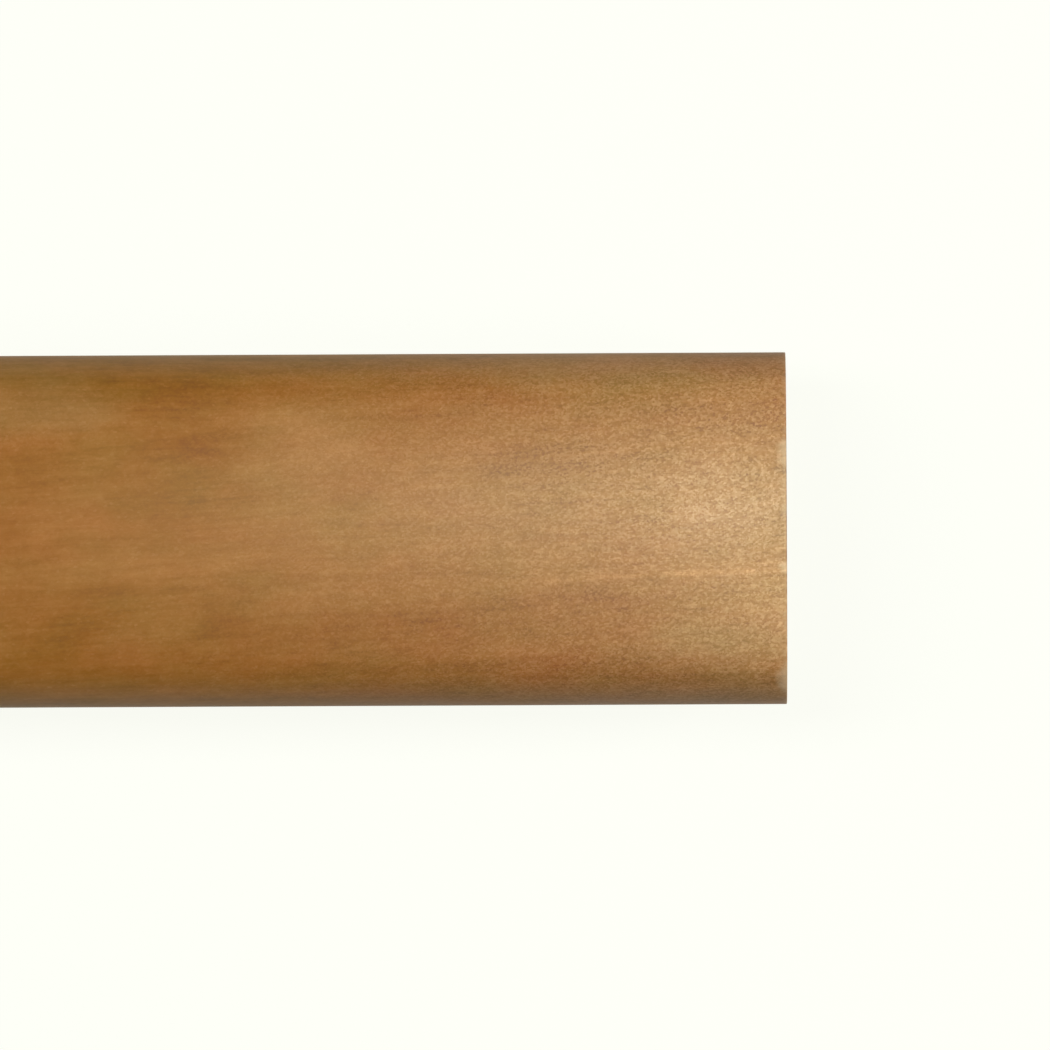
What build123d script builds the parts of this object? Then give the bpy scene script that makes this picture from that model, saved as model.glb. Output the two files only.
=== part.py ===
"""Handrail moulding: one stock length of solid wood, run to a bread-loaf section.

The section is symmetrical about its vertical centre line. From the bottom up
it has a flat underside, a straight bevel each side of the flat, a rounded lower
side, a rounded shoulder and a shallow crown. Every curve runs into the next one
tangentially. Both ends are sawn square.

Frame: millimetres, +X along the length, +Y across the width, +Z up from the
flat underside. The origin is on the underside, at the middle of the length.
"""

import os
from math import acos, asin, atan2, cos, degrees, hypot, radians, sin, sqrt

from build123d import *

# ---------------------------------------------------------------- dimensions
INCH = 25.4

LENGTH = 96 * INCH  # stock length, 8 ft
WIDTH = 2.25 * INCH  # across the two sides at the widest point
THICKNESS = 1.25 * INCH  # from the underside to the top of the crown
FLAT = 1.4375 * INCH  # width of the flat underside, before its arrises are eased

R_CROWN = 2.5 * INCH  # shallow arc over the top
R_SHOULDER = 0.5 * INCH  # from the crown round to the widest point
R_SIDE = 0.625 * INCH  # from the widest point in towards the bevel
R_ARRIS = 0.6  # light easing of the two arrises beside the flat

# ------------------------------------------------------- derived section points
half_width = WIDTH / 2
half_flat = FLAT / 2

# Height of the widest point: the shoulder arc touches the side there and is
# tangent to the inside of the crown arc.
widest_z = (
    THICKNESS
    - R_CROWN
    + sqrt((R_CROWN - R_SHOULDER) ** 2 - (half_width - R_SHOULDER) ** 2)
)

# Angle turned by the shoulder arc, from upright at the widest point to the
# slope at which it joins the crown.
shoulder_turn = 90 - degrees(
    asin((half_width - R_SHOULDER) / (R_CROWN - R_SHOULDER))
)

# Slope of the bevel: the line through the flat's edge that is tangent to the
# lower side arc.
side_centre_y = half_width - R_SIDE
reach = half_flat - side_centre_y
bevel_angle = degrees(atan2(reach, widest_z)) + degrees(
    acos(R_SIDE / hypot(reach, widest_z))
)
bevel_top = (
    side_centre_y + R_SIDE * sin(radians(bevel_angle)),
    widest_z - R_SIDE * cos(radians(bevel_angle)),
)

# ------------------------------------------------------------------- handrail
with BuildPart() as handrail:
    with BuildSketch(Plane.YZ) as section:
        with BuildLine() as outline:
            underside = Line((-half_flat, 0), (half_flat, 0))
            right_bevel = Line(underside @ 1, bevel_top)
            right_side = JernArc(
                right_bevel @ 1, right_bevel % 1, R_SIDE, 90 - bevel_angle
            )
            right_shoulder = JernArc(
                right_side @ 1, right_side % 1, R_SHOULDER, shoulder_turn
            )
            left_bevel = Line(underside @ 0, (-bevel_top[0], bevel_top[1]))
            left_side = JernArc(
                left_bevel @ 1, left_bevel % 1, R_SIDE, bevel_angle - 90
            )
            left_shoulder = JernArc(
                left_side @ 1, left_side % 1, R_SHOULDER, -shoulder_turn
            )
            crown = ThreePointArc(
                right_shoulder @ 1, (0, THICKNESS), left_shoulder @ 1
            )
        make_face()
        # ease the two arrises beside the flat underside
        fillet(section.vertices().group_by(Axis.Y)[0], radius=R_ARRIS)
    extrude(amount=LENGTH / 2, both=True)

handrail.part.label = "handrail"

os.makedirs("parts", exist_ok=True)
export_step(handrail.part, "parts/handrail.step")

print(
    "widest_z %.3f  bevel_angle %.2f  bevel_top (%.3f, %.3f)  shoulder_turn %.2f"
    % (widest_z, bevel_angle, *bevel_top, shoulder_turn)
)
print("shoulder end", right_shoulder @ 1, "side end", right_side @ 1)
print("section area %.1f mm2" % section.sketch.area)
print("volume %.0f mm3" % handrail.part.volume, handrail.part.bounding_box())
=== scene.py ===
from math import acos, asin, atan2, cos, hypot, pi, radians, sin, sqrt, tan

import bpy
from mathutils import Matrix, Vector


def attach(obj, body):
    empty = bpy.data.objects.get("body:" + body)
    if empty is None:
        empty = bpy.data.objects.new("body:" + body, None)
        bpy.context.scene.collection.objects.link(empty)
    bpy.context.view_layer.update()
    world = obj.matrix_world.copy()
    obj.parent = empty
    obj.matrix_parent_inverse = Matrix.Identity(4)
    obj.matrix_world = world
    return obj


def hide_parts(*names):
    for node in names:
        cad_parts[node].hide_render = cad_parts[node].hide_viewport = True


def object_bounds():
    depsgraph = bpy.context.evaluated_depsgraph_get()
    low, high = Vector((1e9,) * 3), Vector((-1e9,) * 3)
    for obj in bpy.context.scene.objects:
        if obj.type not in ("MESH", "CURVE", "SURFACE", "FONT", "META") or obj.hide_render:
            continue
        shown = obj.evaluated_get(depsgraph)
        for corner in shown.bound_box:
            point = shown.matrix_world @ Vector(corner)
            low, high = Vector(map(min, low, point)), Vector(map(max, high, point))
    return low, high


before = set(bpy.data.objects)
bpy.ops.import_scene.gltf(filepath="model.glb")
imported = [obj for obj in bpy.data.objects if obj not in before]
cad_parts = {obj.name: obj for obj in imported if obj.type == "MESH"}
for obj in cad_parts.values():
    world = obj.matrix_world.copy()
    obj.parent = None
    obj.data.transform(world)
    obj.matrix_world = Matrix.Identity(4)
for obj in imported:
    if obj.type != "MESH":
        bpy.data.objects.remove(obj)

cad_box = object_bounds()
scene = bpy.context.scene
scene.view_settings.view_transform = "Standard"

# ------------------------------------------------------------------ dimensions
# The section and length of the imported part, in metres.
INCH = 0.0254
LENGTH = 96 * INCH
WIDTH = 2.25 * INCH
THICKNESS = 1.25 * INCH
FLAT = 1.4375 * INCH
R_CROWN = 2.5 * INCH
R_SHOULDER = 0.5 * INCH
R_SIDE = 0.625 * INCH
R_ARRIS = 0.0006
EASE = 0.00014  # light rounding of the sawn ends' edges
END = LENGTH / 2


# ------------------------------------------------------------------- rail mesh
def half_section():
    """Points (y, z) and outward normals (ny, nz) from the middle of the underside,
    round the right-hand side, to the top of the crown."""
    half_width, half_flat = WIDTH / 2, FLAT / 2
    widest = (
        THICKNESS
        - R_CROWN
        + sqrt((R_CROWN - R_SHOULDER) ** 2 - (half_width - R_SHOULDER) ** 2)
    )
    turn = pi / 2 - asin((half_width - R_SHOULDER) / (R_CROWN - R_SHOULDER))
    side_y = half_width - R_SIDE
    reach = half_flat - side_y
    bevel = atan2(reach, widest) + acos(R_SIDE / hypot(reach, widest))
    flat_end = half_flat - R_ARRIS * tan(bevel / 2)
    points = []

    def arc(centre, radius, start, stop, steps, first=0):
        for k in range(first, steps + 1):
            a = start + (stop - start) * k / steps
            points.append(
                (centre[0] + radius * cos(a), centre[1] + radius * sin(a), cos(a), sin(a))
            )

    for k in range(8):
        points.append((flat_end * k / 8, 0.0, 0.0, -1.0))
    arc((flat_end, R_ARRIS), R_ARRIS, -pi / 2, bevel - pi / 2, 5)
    low = points[-1]
    high = (side_y + R_SIDE * sin(bevel), widest - R_SIDE * cos(bevel))
    for k in range(1, 5):
        t = k / 5
        points.append(
            (
                low[0] + (high[0] - low[0]) * t,
                low[1] + (high[1] - low[1]) * t,
                sin(bevel),
                -cos(bevel),
            )
        )
    arc((side_y, widest), R_SIDE, bevel - pi / 2, 0, 16)
    arc((half_width - R_SHOULDER, widest), R_SHOULDER, 0, turn, 28, 1)
    arc((0, THICKNESS - R_CROWN), R_CROWN, turn, pi / 2, 20, 1)
    return points


def make_rail():
    right = half_section()
    last = len(right) - 1
    left = [(-y, z, -ny, nz) for y, z, ny, nz in right[-2:0:-1]]
    ring = right + left
    n = len(ring)
    # distance round the section, for laying the skin out flat
    around = [0.0]
    for j in range(n):
        a, b = ring[j], ring[(j + 1) % n]
        around.append(around[-1] + hypot(b[0] - a[0], b[1] - a[1]))

    # stations along the length: (x, inset of the eased edge)
    stations = [
        (-END + EASE * (1 - sin(k * pi / 8)), EASE * (1 - cos(k * pi / 8)))
        for k in (4, 3, 2, 1, 0)
    ]
    rows, per_row = 4, 24
    straight = LENGTH - 2 * EASE
    stations += [
        (-END + EASE + straight * k / (rows * per_row), 0.0)
        for k in range(1, rows * per_row)
    ]
    stations += [(-x, inset) for x, inset in stations[4::-1]]

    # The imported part's facets stop a shade under the top of the crown: keep to its height.
    fit = (cad_box[1][2] - cad_box[0][2]) / THICKNESS
    verts, faces, uvs, slots, smooth = [], [], [], [], []
    for x, inset in stations:
        verts += [(x, y - ny * inset, (z - nz * inset) * fit) for y, z, ny, nz in ring]

    # The skin is laid out flat in four rows, one quarter of the length in each.
    scale = 0.00152 * 1000  # of the layout's unit square per metre
    gap = 0.008
    row_height = around[-1] * scale
    bounds = [0] + [4 + per_row * r for r in (1, 2, 3)] + [len(stations) - 1]

    def flat_uv(row, i, s):
        x0 = stations[bounds[row]][0]
        return (
            gap + (stations[i][0] - x0) * scale,
            gap + row * (row_height + gap) + s * scale,
        )

    for row in range(rows):
        for i in range(bounds[row], bounds[row + 1]):
            for j in range(n):
                k = (j + 1) % n
                faces.append((i * n + j, i * n + k, (i + 1) * n + k, (i + 1) * n + j))
                uvs += [
                    flat_uv(row, i, around[j]),
                    flat_uv(row, i, around[j + 1]),
                    flat_uv(row, i + 1, around[j + 1]),
                    flat_uv(row, i + 1, around[j]),
                ]
                slots.append(0)
                smooth.append(True)

    # The sawn ends are filled with strips across the width.
    cap_left = gap + (straight / rows + 2 * EASE) * scale + 2 * gap

    def cap(i, row, outward):
        base = i * n

        def corner(j, mirrored):
            return base + ((n - j) % n if mirrored else j)

        def cap_uv(v):
            y, z = verts[v][1], verts[v][2]
            return (
                cap_left + z * scale,
                gap + row * 0.2 + (y * outward + WIDTH / 2) * scale,
            )

        for j in range(last):
            loop = [corner(j, True), corner(j, False), corner(j + 1, False), corner(j + 1, True)]
            loop = list(dict.fromkeys(loop))
            if len(loop) < 3:
                continue
            # the strips along the flat underside have no height
            if all(abs(verts[v][2] - verts[loop[0]][2]) < 1e-9 for v in loop):
                continue
            if outward < 0:
                loop.reverse()
            faces.append(loop)
            uvs.extend(cap_uv(v) for v in loop)
            slots.append(1)
            smooth.append(False)

    cap(len(stations) - 1, 0, 1)
    cap(0, 1, -1)

    mesh = bpy.data.meshes.new("handrail_moulding")
    mesh.from_pydata(verts, [], faces)
    layer = mesh.uv_layers.new(name="OFBake")
    layer.data.foreach_set("uv", [c for uv in uvs for c in uv])
    mesh.polygons.foreach_set("material_index", slots)
    mesh.polygons.foreach_set("use_smooth", smooth)
    mesh.update()
    piece = bpy.data.objects.new("handrail_moulding", mesh)
    scene.collection.objects.link(piece)
    return piece


rail = make_rail()


# ------------------------------------------------------------------- materials
class Nodes:
    """Short calls for building one material's node tree."""

    def __init__(self, tree):
        self.tree = tree

    def new(self, kind, **settings):
        made = self.tree.nodes.new(kind)
        for name, value in settings.items():
            setattr(made, name, value)
        return made

    def put(self, socket, value):
        if hasattr(value, "is_linked"):
            self.tree.links.new(value, socket)
        else:
            socket.default_value = value

    def math(self, operation, a, b=None, c=None, clamp=False):
        made = self.new("ShaderNodeMath", operation=operation, use_clamp=clamp)
        for socket, value in zip(made.inputs, (a, b, c)):
            if value is not None:
                self.put(socket, value)
        return made.outputs[0]

    def vector(self, operation, a, b=None, scale=None):
        made = self.new("ShaderNodeVectorMath", operation=operation)
        self.put(made.inputs[0], a)
        if b is not None:
            self.put(made.inputs[1], b)
        if scale is not None:
            self.put(made.inputs["Scale"], scale)
        return made.outputs["Value" if operation in ("LENGTH", "DOT_PRODUCT") else 0]

    def split(self, vector):
        made = self.new("ShaderNodeSeparateXYZ")
        self.put(made.inputs[0], vector)
        return made.outputs

    def join(self, x, y, z):
        made = self.new("ShaderNodeCombineXYZ")
        for socket, value in zip(made.inputs, (x, y, z)):
            self.put(socket, value)
        return made.outputs[0]

    def ramp(self, value, low, high, to_low=0.0, to_high=1.0, soft=True):
        made = self.new(
            "ShaderNodeMapRange",
            interpolation_type="SMOOTHSTEP" if soft else "LINEAR",
            clamp=True,
        )
        self.put(made.inputs["Value"], value)
        for name, v in (
            ("From Min", low),
            ("From Max", high),
            ("To Min", to_low),
            ("To Max", to_high),
        ):
            made.inputs[name].default_value = v
        return made.outputs["Result"]

    def noise(self, vector, cell, detail=2.0, roughness=0.5, centred=True):
        """Soft noise whose grains are about cell = (x, y, z) millimetres long."""
        stretched = self.vector("MULTIPLY", vector, tuple(1.0 / c for c in cell))
        made = self.new("ShaderNodeTexNoise", noise_dimensions="3D")
        self.put(made.inputs["Vector"], stretched)
        made.inputs["Scale"].default_value = 1.0
        made.inputs["Detail"].default_value = detail
        made.inputs["Roughness"].default_value = roughness
        value = made.outputs["Fac"]
        return self.math("SUBTRACT", value, 0.5) if centred else value

    def cells(self, vector, cell, power=2.0):
        """A value of its own for each grain of about cell millimetres. A high power keeps few bright ones."""
        stretched = self.vector("MULTIPLY", vector, tuple(1.0 / c for c in cell))
        made = self.new("ShaderNodeTexVoronoi", voronoi_dimensions="3D", feature="F1")
        self.put(made.inputs["Vector"], stretched)
        made.inputs["Scale"].default_value = 1.0
        value = self.math("POWER", self.split(made.outputs["Color"])[0], power)
        return self.math("SUBTRACT", value, 1.0 / (power + 1.0))

    def mix(self, factor, a, b):
        made = self.new("ShaderNodeMix", data_type="RGBA", blend_type="MIX")
        self.put(made.inputs[0], factor)
        self.put(made.inputs[6], a)
        self.put(made.inputs[7], b)
        return made.outputs[2]


def sum_of(n, terms, start=0.0):
    """start + each field times its weight."""
    total = start
    for field, weight in terms:
        total = n.math("MULTIPLY_ADD", field, weight, total)
    return total


def wood_fields(n):
    """Position in millimetres, the same position along the grain, and the growth rings."""
    place = n.new("ShaderNodeTexCoord").outputs["Object"]
    mm = n.vector("SCALE", place, scale=1000.0)
    x, y, z = n.split(mm)
    # The grain runs out slowly: it climbs across the crown towards the right-hand end.
    wander_y = n.noise(mm, (130, 60, 60), 2.0)
    wander_z = n.noise(n.vector("ADD", mm, (317, 41, 83)), (150, 60, 60), 2.0)
    from_end = n.math("SUBTRACT", x, END * 1000)
    v = n.math("MULTIPLY_ADD", from_end, -0.040, y)
    v = n.math("MULTIPLY_ADD", wander_y, 9.0, v)
    w = n.math("MULTIPLY_ADD", from_end, -0.006, z)
    w = n.math("MULTIPLY_ADD", wander_z, 6.0, w)
    grain = n.join(x, v, w)
    # Growth rings about a pith that lies outside the section, below and to one side.
    across = n.math("ADD", v, 31.0)
    up = n.math("ADD", w, 58.0)
    radius = n.math("SQRT", n.math("ADD", n.math("MULTIPLY", across, across), n.math("MULTIPLY", up, up)))
    radius = n.math("MULTIPLY_ADD", n.noise(grain, (60, 7, 7), 2.0), 2.2, radius)
    year = n.math("FRACT", n.math("MULTIPLY", radius, 1 / 2.9))
    late = n.math("MULTIPLY", n.ramp(year, 0.35, 0.93), n.ramp(year, 1.0, 0.95))
    return mm, grain, late, from_end


# Figure of the wood towards the right-hand end, with painted highlight: soft marks in the colour; the lighter
# and greyer marks paint the patchy edge of the sheen on the crown.
# (distance from the end, distance from the centre line, half length, half width,
#  slope in degrees, lighter or darker, olive or red, greyer), lengths in mm
MARKS = (
    (-121, 20.5, 21, 7.5, 0, 0.06, 0.50, 0.25),
    (-100, 21.2, 15, 5.0, 0, -0.12, -0.20, 0.0),
    (-97, 10.5, 19, 15.0, 8, -0.13, -0.08, 0.0),
    (-79, 13.0, 16, 10.0, 0, 0.15, 0.05, 0.12),
    (-53, 10.0, 12, 6.0, 0, 0.05, 0.10, 0.0),
    (-39, 10.7, 20, 7.0, 2, -0.12, 0.0, 0.0),
    (-23, 22.5, 26, 6.0, 0, 0.04, 0.60, 0.0),
    (-34, -11.2, 28, 2.8, 4, -0.10, -0.25, 0.0),
    (-38, -18.0, 24, 8.0, 2, -0.02, -0.15, 0.0),
    (-79, -10.4, 12, 4.0, 3, 0.06, 0.0, 0.05),
    (-63, -18.5, 10, 5.0, 0, 0.03, 0.05, 0.0),
    (-107, -19.0, 9, 5.0, 30, 0.08, 0.0, 0.05),
    (-114, -15.0, 16, 6.0, 20, -0.13, 0.25, 0.0),
    (-92, -13.2, 13, 5.5, 35, -0.13, 0.0, 0.0),
    (-122, 9.0, 18, 8.0, 0, -0.07, 0.0, 0.0),
    (-8, 17.5, 16, 4.5, 0, -0.08, -0.10, 0.0),
    (-72, -17.5, 30, 8.0, 4, -0.10, 0.0, 0.0),
    (-108, 25.0, 44, 5.5, 0, -0.09, 0.20, 0.0),
    (-12, -18.5, 20, 6.0, 0, 0.05, 0.50, 0.12),
    (-34, 26.5, 24, 5.0, 0, 0.09, 0.20, 0.15),
    (-62, -25.0, 36, 4.5, 0, -0.08, 0.0, 0.0),
    (-13, -25.5, 24, 4.5, 0, -0.04, 0.60, 0.0),
    (0.3, 9.4, 3.0, 1.6, 0, -0.20, 0.0, 0.0),
    (0.3, -4.4, 3.0, 1.4, 0, -0.20, 0.0, 0.0),
)
# Fine pale lines along the grain: (height at the end, slope, bend, from, to, strength)
LINES = (
    (-6.65, 0.0240, -0.00046, -72.0, 8.0, 0.31),
    (-5.45, 0.0240, -0.00046, -60.0, 8.0, 0.14),
    (2.06, 0.479, 0.00246, -100.0, -54.0, 0.07),
)
# Pale wear and painted highlight on the edge of the right-hand end: (distance from the centre line, half width,
# reach)
EDGE_WEAR_AND_HIGHLIGHT = ((12.0, 3.0, 1.3), (4.5, 5.0, 0.5), (-6.4, 1.4, 1.1), (-24.5, 3.0, 1.5), (-15.0, 3.0, 0.2))


def wood_material():
    material = bpy.data.materials.new("satin_wood")
    material.use_nodes = True
    n = Nodes(material.node_tree)
    shader = material.node_tree.nodes["Principled BSDF"]
    mm, grain, late, from_end = wood_fields(n)
    y = n.split(mm)[1]

    broad = n.noise(n.vector("ADD", grain, (613, 29, 151)), (46, 15, 15), 2.0, 0.5)
    broad = n.math("MULTIPLY", broad, n.ramp(from_end, -150.0, -110.0, 1.0, 0.4))
    mottle = n.noise(n.vector("ADD", grain, (307, 45, 211)), (7, 4.5, 4.5), 3.0, 0.9)
    hue = n.noise(n.vector("ADD", grain, (913, 77, 29)), (18, 9, 9), 3.0, 0.6)
    streak = n.noise(n.vector("ADD", grain, (131, 11, 67)), (44, 2.4, 2.4), 3.0, 0.6)
    fibre = n.noise(n.vector("ADD", grain, (431, 17, 101)), (16, 0.9, 0.9), 3.0, 0.7)
    fine = n.cells(n.vector("ADD", grain, (211, 91, 37)), (0.36, 0.29, 0.29), 1.4)
    sparse = n.cells(n.vector("ADD", grain, (17, 61, 143)), (0.55, 0.32, 0.32), 10.0)
    coarse = n.noise(n.vector("ADD", grain, (57, 173, 89)), (2.0, 0.8, 0.8), 1.0, 0.6)
    speck = n.math("MULTIPLY_ADD", coarse, 0.62, fine)

    # marks, with outlines that wander a little
    drift = n.join(
        n.math("MULTIPLY", n.noise(mm, (14, 7, 7), 2.0), 16.0),
        n.math("MULTIPLY", n.noise(n.vector("ADD", mm, (71, 53, 19)), (12, 5, 5), 2.0), 7.0),
        0.0,
    )
    drifted = n.vector("ADD", n.vector("SUBTRACT", mm, (END * 1000, 0, 0)), drift)
    value, tint, grey = 0.0, 0.0, 0.0
    # some of these marks are painted highlight, lighter and greyer where the sheen begins
    for mx, my, long, wide, slope, lighter, olive, greyer in MARKS:
        spot = n.new("ShaderNodeMapping", vector_type="TEXTURE")
        n.put(spot.inputs["Vector"], drifted)
        spot.inputs["Location"].default_value = (mx, my, 26.0)
        spot.inputs["Rotation"].default_value = (0, 0, radians(slope))
        spot.inputs["Scale"].default_value = (long, wide, 40.0)
        fade = n.new("ShaderNodeTexGradient", gradient_type="SPHERICAL")
        n.put(fade.inputs["Vector"], spot.outputs[0])
        mask = n.ramp(fade.outputs["Fac"], 0.0, 0.8)
        value = n.math("MULTIPLY_ADD", mask, lighter, value)
        if olive:
            tint = n.math("MULTIPLY_ADD", mask, olive, tint)
        if greyer:
            grey = n.math("MULTIPLY_ADD", mask, greyer, grey)
    for height, slope, bend, start, stop, strength in LINES:
        curve = n.math("MULTIPLY_ADD", from_end, bend, slope)
        curve = n.math("MULTIPLY_ADD", from_end, curve, height)
        off = n.math("ABSOLUTE", n.math("SUBTRACT", n.math("MULTIPLY_ADD", streak, 0.6, y), curve))
        line = n.ramp(off, 0.95, 0.0)
        line = n.math("MULTIPLY", line, n.ramp(from_end, start, 0.2 * start + 0.8 * stop))
        line = n.math("MULTIPLY", line, n.ramp(from_end, stop, stop - 8))
        line = n.math("MULTIPLY", line, n.ramp(coarse, -0.2, 0.1, 0.5, 1.0))
        value = n.math("MULTIPLY_ADD", line, strength, value)

    shade = sum_of(
        n, ((broad, 0.22), (mottle, 0.52), (streak, 0.22), (fibre, 0.38), (late, -0.04))
    )
    shade = n.math("ADD", shade, value)
    lean = n.math("MULTIPLY_ADD", hue, 2.1, tint)
    lean = n.math("ADD", lean, n.ramp(n.split(mm)[2], 28.5, 25.0, 0.0, 0.4))
    lean = n.math("MULTIPLY_ADD", lean, 0.5, 0.5, clamp=True)
    colour = n.mix(lean, (0.322, 0.089, 0.0070, 1), (0.272, 0.119, 0.0110, 1))
    colour = n.mix(grey, colour, (0.27, 0.16, 0.060, 1))
    # painted shade: the turned-down sides are darkened, less so towards the bottom, and their finish is made
    # duller
    side_shade_and_dullness = n.math("MULTIPLY", n.ramp(n.split(mm)[2], 27.0, 19.0), n.ramp(n.split(mm)[2], 5.0, 15.0, 0.45, 1.0))
    colour = n.mix(n.math("MULTIPLY", side_shade_and_dullness, 0.65), colour, (0.182, 0.089, 0.0110, 1))
    # Pale specks of the grain with painted glints of the sheen: few on most of the length, more where the
    # figure is lighter, and most towards the right-hand end, where the highlight falls.
    open_grain_and_sheen = n.math("MAXIMUM", n.ramp(from_end, -118.0, 4.0), n.ramp(broad, 0.0, 0.5))
    # painted sheen colour: a little blue is added where the glints grow
    colour = n.vector("ADD", colour, n.vector("SCALE", (0.0, 0.0, 0.012), scale=open_grain_and_sheen))
    sparkle = n.math("MULTIPLY", speck, n.math("MULTIPLY_ADD", open_grain_and_sheen, 0.92, 0.14))
    sparkle = n.math("MULTIPLY_ADD", sparse, 0.24, sparkle)
    # painted glints: weaker on the shoulders than on the crown, where the highlight lies
    sparkle = n.math("MULTIPLY", sparkle, n.ramp(n.split(mm)[2], 19.0, 27.0, 0.35, 1.0))
    # lighter wood is paler and darker wood richer, so the figure, with the marks of painted highlight, is
    # added, not multiplied
    colour = n.vector("ADD", colour, n.vector("SCALE", (0.300, 0.150, 0.066), scale=shade))
    glint = n.vector("SCALE", (1.0, 0.60, 0.38), scale=n.math("MULTIPLY", sparkle, 0.143))
    colour = n.vector("MAXIMUM", n.vector("ADD", colour, glint), (0.02, 0.01, 0.001))

    # wear and painted highlight: the sawn edges are painted pale, partly for broken finish and bare wood,
    # partly as painted light along the edge line and where the highlight runs onto the end
    ragged = n.noise(mm, (1.2, 1.6, 1.6), 2.0, 0.6)
    inward = n.math("SUBTRACT", END * 1000, n.math("ABSOLUTE", n.split(mm)[0]))
    inward = n.math("MULTIPLY_ADD", ragged, 1.6, inward)
    reach = n.math("MULTIPLY_ADD", n.noise(mm, (400, 3.2, 3.2), 2.0), 1.2, -0.05)
    for wy, wide, depth in EDGE_WEAR_AND_HIGHLIGHT:
        near = n.math("ABSOLUTE", n.math("SUBTRACT", y, wy))
        near = n.math("MULTIPLY", n.ramp(near, wide, wide * 0.3), n.ramp(from_end, -8.0, -6.0))
        reach = n.math("MULTIPLY_ADD", near, depth, reach)
    wear_and_edge_highlight = n.ramp(n.math("SUBTRACT", reach, inward), -0.8, 1.2)
    # pale colour of wear and painted highlight on the edge
    colour = n.mix(n.math("MULTIPLY", wear_and_edge_highlight, 0.45), colour, (0.62, 0.46, 0.29, 1))
    n.put(shader.inputs["Base Color"], colour)

    rough = sum_of(n, ((broad, 0.22), (hue, 0.14), (streak, 0.08), (sparkle, -0.08), (side_shade_and_dullness, 0.12)), 0.49)
    n.put(shader.inputs["Roughness"], rough)
    bump = n.new("ShaderNodeBump")
    bump.inputs["Strength"].default_value = 1.0
    bump.inputs["Distance"].default_value = 0.00002
    n.put(bump.inputs["Height"], fibre)
    n.put(shader.inputs["Normal"], bump.outputs[0])
    shader.inputs["IOR"].default_value = 1.45
    return material


def end_material():
    """Sawn end grain: growth rings, fine rays and the marks of the saw."""
    material = bpy.data.materials.new("sawn_end_grain")
    material.use_nodes = True
    n = Nodes(material.node_tree)
    shader = material.node_tree.nodes["Principled BSDF"]
    mm, grain, late, _ = wood_fields(n)
    blotch = n.noise(grain, (30, 8, 8), 3.0, 0.55)
    pores = n.noise(mm, (4, 0.22, 0.22), 1.0)
    saw = n.noise(mm, (3, 0.35, 14), 2.0)
    shade = sum_of(n, ((late, -0.30), (blotch, 0.30), (pores, 0.40), (saw, 0.20)), 0.92)
    colour = n.mix(n.math("MULTIPLY_ADD", blotch, 1.6, 0.5, clamp=True), (0.250, 0.118, 0.036, 1), (0.285, 0.150, 0.050, 1))
    colour = n.vector("SCALE", colour, scale=shade)
    n.put(shader.inputs["Base Color"], colour)
    n.put(shader.inputs["Roughness"], sum_of(n, ((pores, 0.2), (late, -0.08)), 0.78))
    bump = n.new("ShaderNodeBump")
    bump.inputs["Strength"].default_value = 0.6
    bump.inputs["Distance"].default_value = 0.00012
    n.put(bump.inputs["Height"], sum_of(n, ((saw, 1.0), (pores, 0.6), (late, 0.25))))
    n.put(shader.inputs["Normal"], bump.outputs[0])
    return material


rail.data.materials.append(wood_material())
rail.data.materials.append(end_material())
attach(rail, "root")
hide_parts("handrail")

# ----------------------------------------------------------------------- stage
half = 300.0
ground = bpy.data.meshes.new("floor")
ground.from_pydata(
    [(-half, -half, -0.0002), (half, -half, -0.0002), (half, half, -0.0002), (-half, half, -0.0002)],
    [],
    [(0, 1, 2, 3)],
)
floor = bpy.data.objects.new("floor", ground)
scene.collection.objects.link(floor)
pale = bpy.data.materials.new("pale_floor")
pale.use_nodes = True
pale_shader = pale.node_tree.nodes["Principled BSDF"]
pale_shader.inputs["Base Color"].default_value = (0.07, 0.071, 0.066, 1)
pale_shader.inputs["Roughness"].default_value = 1.0
pale_shader.inputs["Specular IOR Level"].default_value = 0.0
pale_shader.inputs["Emission Color"].default_value = (0.99, 1.0, 0.93, 1)
pale_shader.inputs["Emission Strength"].default_value = 0.93
ground.materials.append(pale)
floor.visible_diffuse = False


def softbox(name, place, aim, size, power, colour=(1, 1, 1)):
    light = bpy.data.lights.new(name, "AREA")
    light.shape = "RECTANGLE"
    light.size, light.size_y = size
    light.energy = power
    light.color = colour
    box = bpy.data.objects.new(name, light)
    scene.collection.objects.link(box)
    box.location = place
    box.rotation_mode = "QUATERNION"
    box.rotation_quaternion = (Vector(aim) - Vector(place)).to_track_quat("-Z", "Y")
    box.visible_camera = False
    # lit by sampling the light alone, so that each box keeps to its own kind of reflection
    light.cycles.use_multiple_importance_sampling = False
    return box


# A long box over the length gives the even light, and a box beyond each end lights the sawn face.
over = softbox("over", (-0.35, 0.4, 1.6), (-0.35, 0, 0), (2.4, 0.6), 39.3)
over.visible_glossy = False
for name, side in (("end_right", 1), ("end_left", -1)):
    box = softbox(name, (side * (END + 0.8), 0, 0.5), (side * END, 0, 0.02), (0.4, 0.2), 8.1)
    box.visible_glossy = False
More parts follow.
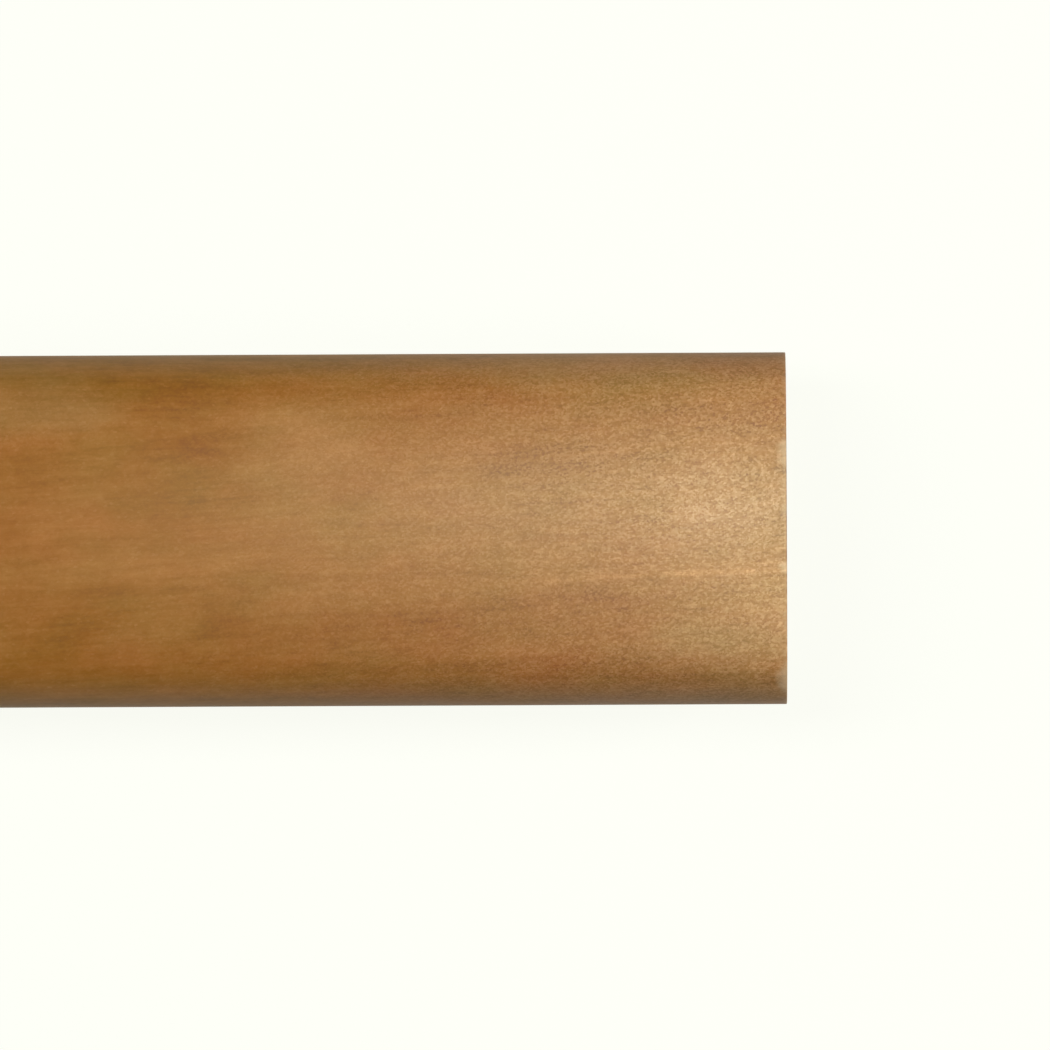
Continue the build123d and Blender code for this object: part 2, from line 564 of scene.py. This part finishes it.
# Strips lying beside the rail, facing up, stand for the light that the floor throws back.
for name, side, power in (("bounce_back", 1, 2.3), ("bounce_front", -1, 1.7)):
    box = softbox(name, (0, side * 0.28, 0.001), (0, side * 0.28, 1), (2.7, 0.5), power)
    box.visible_glossy = False
# A long warm strip gives the rest of the length its sheen.
strip = softbox("strip", (-0.3, 0, 0.5), (-0.3, 0, 0), (1.7, 0.3), 3.5, (1.0, 0.90, 0.60))
strip.visible_diffuse = False
# Small warm boxes round the right-hand end give the sheen there.
WARM, COOL, WHITE = (1.0, 0.88, 0.45), (0.97, 0.90, 0.49), (0.93, 0.89, 0.60)
for k, (dx, dy, height, size, power, colour) in enumerate(
    (
        (0.085, -0.0875, 0.25, (0.0625, 0.0625), 1.01, COOL),
        (0.019, 0.030, 0.25, (0.0625, 0.0625), 0.68, WHITE),
        (0.019, 0.0875, 0.25, (0.0625, 0.0625), 0.35, WARM),
        (-0.060, -0.031, 0.25, (0.0625, 0.0625), 0.10, WARM),
        (0.060, 0.200, 0.16, (0.14, 0.14), 0.46, WARM),
        (0.060, -0.200, 0.16, (0.14, 0.14), 0.36, COOL),
        (0.060, 0.200, 0.04, (0.14, 0.06), 0.13, COOL),
    )
):
    box = softbox("sheen_%d" % k, (END + dx, dy, height), (END - 0.02, 0, 0.025), size, power, colour)
    box.visible_diffuse = False

world = bpy.data.worlds.new("studio")
scene.world = world
world.use_nodes = True
sky = world.node_tree.nodes["Background"]
sky.inputs["Color"].default_value = (0.92, 0.96, 1.0, 1)
sky.inputs["Strength"].default_value = 0.10

# ---------------------------------------------------------------------- camera
# Straight down on the crown at the right-hand end, through a long lens.
LENS = 1000.0
FRAME = 0.17057  # width of the picture at the widest part of the section
camera = bpy.data.cameras.new("camera")
camera.lens = LENS
camera.sensor_width = 36.0
camera.clip_start, camera.clip_end = 0.1, 200.0
eye = bpy.data.objects.new("camera", camera)
scene.collection.objects.link(eye)
eye.location = (END - 0.04241, 0.00071, 0.0165 + FRAME * LENS / 36.0)
eye.rotation_euler = (0, 0, radians(-0.274))
scene.camera = eye
